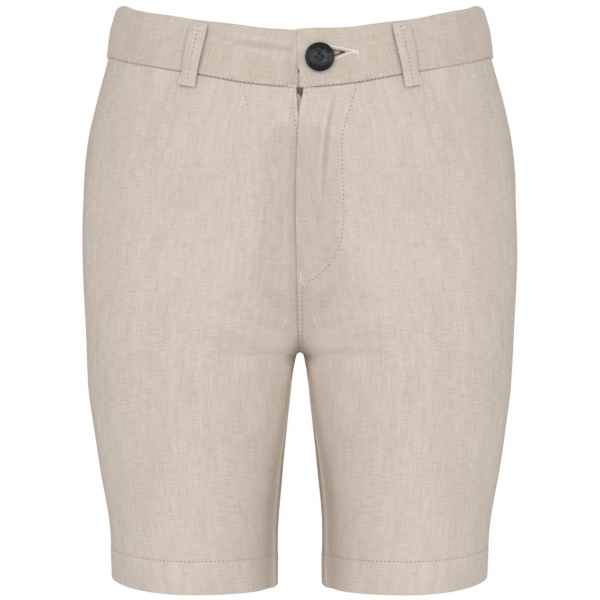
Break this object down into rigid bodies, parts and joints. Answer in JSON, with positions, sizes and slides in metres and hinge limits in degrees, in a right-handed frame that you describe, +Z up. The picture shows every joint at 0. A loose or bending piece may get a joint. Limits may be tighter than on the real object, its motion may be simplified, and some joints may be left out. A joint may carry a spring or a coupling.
{
  "type": "bermuda shorts",
  "caption": "Bermuda shorts in plain linen, filled out as worn, with a lapped waistband, fly zip, belt loops and slanted side pockets.",
  "frame": {"origin": "on the centre line, half way between front and back, at the height of the side waist seams, where the wearer holds the garment up", "axes": "the front faces -Y, +X is the wearer's left, +Z is up"},
  "size_m": [0.3676, 0.2222, 0.4857],
  "materials": {
    "linen": "matt plain-woven linen in a light warm beige",
    "band_linen": "the same linen doubled, a shade deeper",
    "tape": "matt woven zip tape, greyish beige",
    "gunmetal": "dark plated metal",
    "horn": "polished imitation horn, charcoal with blue-grey streaks"
  },
  "bodies": {
    "root": {"front_left": "linen", "front_right": "linen", "back_left": "linen", "back_right": "linen", "pocket_facing_left": "linen", "pocket_facing_right": "linen", "waistband_left": "band_linen", "waistband_right": "band_linen", "fly_facing": "linen", "zip_tape": "tape", "zip_slider": "gunmetal", "button": "horn", "belt_loop_front_left": "band_linen", "belt_loop_front_right": "band_linen", "belt_loop_side_left": "band_linen", "belt_loop_side_right": "band_linen", "belt_loop_centre_back": "band_linen"}
  },
  "joints": []
}
